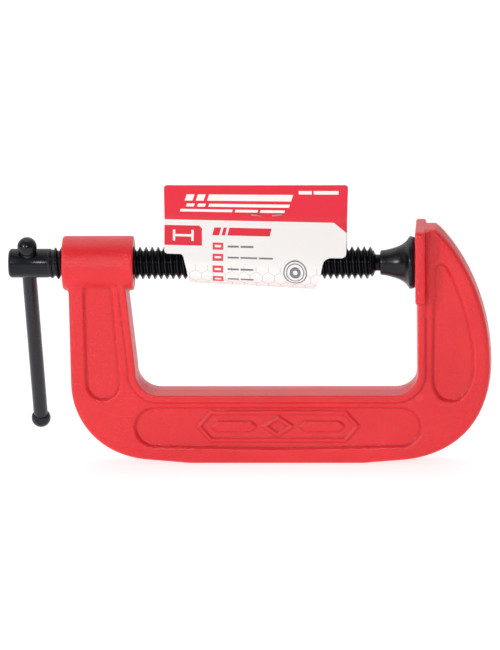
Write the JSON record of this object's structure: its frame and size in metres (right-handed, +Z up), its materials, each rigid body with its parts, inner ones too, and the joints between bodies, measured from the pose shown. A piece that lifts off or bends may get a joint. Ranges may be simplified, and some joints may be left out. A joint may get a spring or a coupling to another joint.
{
  "type": "c clamp",
  "caption": "Cast C-shaped screw clamp with a sliding T-handle, a threaded screw, a swivelling pad and a folded hang card on the screw.",
  "frame": {"origin": "middle of the spine's flat underside, on which the clamp stands", "axes": "+X along the screw from the handle to the anvil, +Z up from the underside to the screw, +Y away from the side that the hang card faces"},
  "size_m": [0.1991, 0.0638, 0.1168],
  "materials": {
    "red_enamel": "semi-gloss red enamel over a casting",
    "black_oxide": "glossy black oxide",
    "printed_card": "coated card printed in red and grey",
    "steel_wire": "bright wire"
  },
  "bodies": {
    "frame": {"frame": "red_enamel", "hang_card": "printed_card", "staple": "steel_wire"},
    "pad": {"swivel_pad": "black_oxide"},
    "screw": {"screw": "black_oxide"},
    "handle": {"handle_bar": "black_oxide", "ball_end_upper": "black_oxide", "ball_end_lower": "black_oxide"}
  },
  "joints": [
    {"name": "screw_feed", "type": "slide", "parent": "frame", "child": "pad", "axis": [1, 0, 0], "range_m": [-0.1011, 0], "deforming": ["hang_card"]},
    {"name": "screw_turn", "type": "hinge", "parent": "pad", "child": "screw", "pos_m": [-0.102, 0, 0.084], "axis": [1, 0, 0], "range_deg": [-14544, 0]},
    {"name": "handle_slide", "type": "slide", "parent": "screw", "child": "handle", "axis": [0, -0.5045, 0.8634], "range_m": [0, 0.0795]}
  ],
  "couplings": [
    {"joint": "screw_feed", "follows": "screw_turn", "m_per_rad": 0.00039789}
  ]
}
